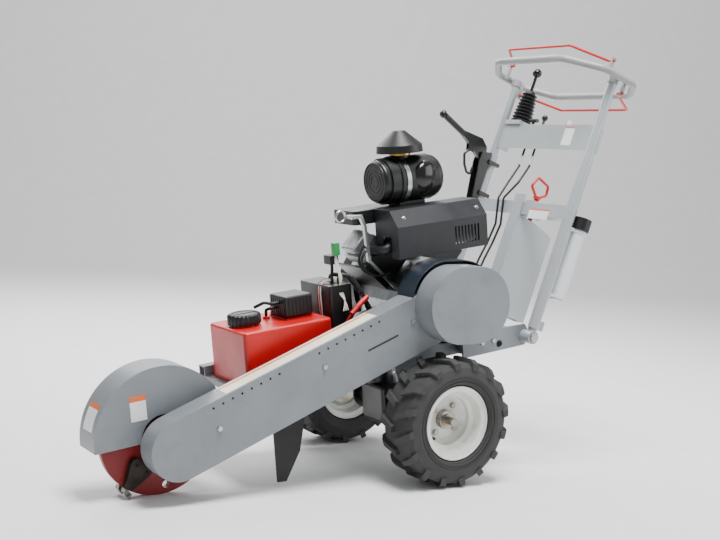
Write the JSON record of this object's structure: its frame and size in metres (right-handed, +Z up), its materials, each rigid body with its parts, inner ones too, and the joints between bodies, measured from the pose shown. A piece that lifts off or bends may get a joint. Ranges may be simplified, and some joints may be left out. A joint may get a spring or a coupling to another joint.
{
  "type": "stump grinder",
  "caption": "Walk-behind stump grinder: belt-driven cutter disc on a long boom, engine, two lugged wheels, tilting handlebar with ring handle, levers and bails.",
  "frame": {"origin": "bottom centre of the whole machine, on the ground", "axes": "+Z up, -X towards the cutter, +X towards the operator, -Y the belt-drive side"},
  "size_m": [1.9082, 0.776, 1.4257],
  "materials": {
    "silver_paint": "smooth silver-grey enamel",
    "dark_blue_grey_paint": "dark blue-grey enamel",
    "red_paint": "bright red enamel",
    "maroon_paint": "deep red enamel",
    "black_paint": "satin black enamel",
    "white_paint": "gloss off-white enamel",
    "zinc_steel": "zinc-plated steel",
    "dark_steel": "bare hardened steel",
    "cast_alloy": "as-cast aluminium",
    "grey_steel_tube": "pale silver enamel on steel tube",
    "black_plastic": "moulded black plastic",
    "grey_plastic": "pale grey plastic tube",
    "rubber": "moulded rubber",
    "tyre_rubber": "tyre rubber"
  },
  "bodies": {
    "chassis": {"chassis_frame": "silver_paint", "drive_gearbox": "black_paint", "boom_beam": "silver_paint", "belt_guard_cover": "silver_paint", "clutch_cover": "silver_paint", "clutch_backplate": "dark_blue_grey_paint", "drive_belts": "rubber", "cutter_bearings": "dark_steel", "cutter_hood": "silver_paint", "chip_curtain": "rubber", "fuel_tank": "red_paint", "vapour_canister": "black_plastic", "fuel_hoses": "rubber", "battery_box": "black_plastic", "engine_crankcase": "cast_alloy", "engine_cylinders": "cast_alloy", "blower_housing": "black_paint", "intake_plenum": "black_plastic", "muffler": "black_paint", "muffler_guard": "black_paint", "air_cleaner": "black_plastic", "rain_cap": "black_plastic", "lifting_strap": "zinc_steel", "engine_wiring": "rubber", "frame_fasteners": "zinc_steel", "quadrant_column": "silver_paint"},
    "cutter": {"cutter_shaft": "zinc_steel", "cutter_disc": "maroon_paint", "tooth_pockets": "dark_steel", "cutter_teeth": "dark_steel", "pocket_bolts": "dark_steel", "driven_pulley": "dark_steel"},
    "crank": {"clutch_pulley": "dark_steel", "flywheel_fan": "cast_alloy"},
    "idler_arm": {"idler_arm": "zinc_steel"},
    "idler_pulley": {"idler_pulley": "dark_steel"},
    "left_wheel": {"left_tyre": "tyre_rubber", "left_rim": "white_paint", "left_axle_hub": "zinc_steel"},
    "right_wheel": {"right_tyre": "tyre_rubber", "right_rim": "white_paint", "right_axle_hub": "zinc_steel"},
    "handlebar": {"handlebar_frame": "grey_steel_tube", "handle_ring": "grey_steel_tube", "console_panel": "silver_paint", "document_canister": "grey_plastic", "control_cables": "rubber", "brake_bracket": "black_paint", "joystick_bellows": "rubber"},
    "lock_pin": {"lock_pin": "red_paint"},
    "upper_bail": {"upper_bail": "red_paint"},
    "lower_bail": {"lower_bail": "red_paint"},
    "joystick": {"joystick_lever": "black_plastic"},
    "throttle": {"throttle_lever": "black_plastic"},
    "choke": {"choke_knob": "black_plastic"},
    "key": {"key_switch": "zinc_steel"},
    "brake_lever": {"brake_lever": "black_paint"},
    "brake_trigger": {"brake_trigger": "black_paint"},
    "fuel_cap": {"fuel_cap": "black_plastic"},
    "canister_cap": {"canister_cap": "black_plastic"}
  },
  "joints": [
    {"name": "cutter_spin", "type": "hinge", "parent": "chassis", "child": "cutter", "pos_m": [-0.74811, -0.108, 0.178], "axis": [0, 1, 0], "continuous": true},
    {"name": "crank_spin", "type": "hinge", "parent": "chassis", "child": "crank", "pos_m": [0.1746, -0.226, 0.56661], "axis": [0, 1, 0], "continuous": true},
    {"name": "idler_arm_swing", "type": "hinge", "parent": "chassis", "child": "idler_arm", "pos_m": [-0.06106, -0.226, 0.46321], "axis": [0, 1, 0], "range_deg": [-6, 0]},
    {"name": "idler_spin", "type": "hinge", "parent": "idler_arm", "child": "idler_pulley", "pos_m": [-0.13295, -0.226, 0.47067], "axis": [0, 1, 0], "continuous": true},
    {"name": "left_wheel_roll", "type": "hinge", "parent": "chassis", "child": "left_wheel", "pos_m": [0.12983, -0.312, 0.203], "axis": [0, 1, 0], "continuous": true},
    {"name": "right_wheel_roll", "type": "hinge", "parent": "chassis", "child": "right_wheel", "pos_m": [0.12983, 0.312, 0.203], "axis": [0, 1, 0], "continuous": true},
    {"name": "handlebar_tilt", "type": "hinge", "parent": "chassis", "child": "handlebar", "pos_m": [0.50448, 0, 0.44299], "axis": [0, 1, 0], "range_deg": [0, 12]},
    {"name": "lock_pin_pull", "type": "slide", "parent": "handlebar", "child": "lock_pin", "axis": [0.3157, 0, 0.9489], "range_m": [-0.01, 0.006]},
    {"name": "upper_bail_squeeze", "type": "hinge", "parent": "handlebar", "child": "upper_bail", "pos_m": [0.77244, 0, 1.37507], "axis": [0, 1, 0], "range_deg": [-16, 0]},
    {"name": "lower_bail_squeeze", "type": "hinge", "parent": "handlebar", "child": "lower_bail", "pos_m": [0.82183, 0, 1.27011], "axis": [0, 1, 0], "range_deg": [-12, 0]},
    {"name": "joystick_tilt", "type": "hinge", "parent": "handlebar", "child": "joystick", "pos_m": [0.76624, 0.186, 1.15054], "axis": [0, 1, 0], "range_deg": [-10, 10], "deforming": ["joystick_bellows"]},
    {"name": "throttle_swing", "type": "hinge", "parent": "handlebar", "child": "throttle", "pos_m": [0.75392, 0.055, 1.12935], "axis": [0, 1, 0], "range_deg": [-18, 18]},
    {"name": "choke_pull", "type": "slide", "parent": "handlebar", "child": "choke", "axis": [0.3157, 0, 0.9489], "range_m": [0, 0.025]},
    {"name": "key_turn", "type": "hinge", "parent": "handlebar", "child": "key", "pos_m": [0.76086, -0.078, 1.15022], "axis": [0.3157, 0, 0.9489], "range_deg": [0, 90]},
    {"name": "brake_lever_swing", "type": "hinge", "parent": "handlebar", "child": "brake_lever", "pos_m": [0.65215, 0.253, 1.0262], "axis": [0, 1, 0], "range_deg": [-18, 2]},
    {"name": "brake_trigger_squeeze", "type": "hinge", "parent": "brake_lever", "child": "brake_trigger", "pos_m": [0.59079, 0.253, 1.05716], "axis": [0, 1, 0], "range_deg": [-6, 0]},
    {"name": "fuel_cap_turn", "type": "hinge", "parent": "chassis", "child": "fuel_cap", "pos_m": [-0.43178, -0.008, 0.46995], "axis": [-0.1478, 0, 0.989], "range_deg": [0, 90]},
    {"name": "canister_cap_turn", "type": "hinge", "parent": "handlebar", "child": "canister_cap", "pos_m": [0.69275, -0.253, 0.81245], "axis": [0.3157, 0, 0.9489], "range_deg": [0, 120]}
  ],
  "couplings": [
    {"joint": "cutter_spin", "follows": "crank_spin", "ratio": 1.24},
    {"joint": "idler_spin", "follows": "crank_spin", "ratio": 2.3846}
  ]
}
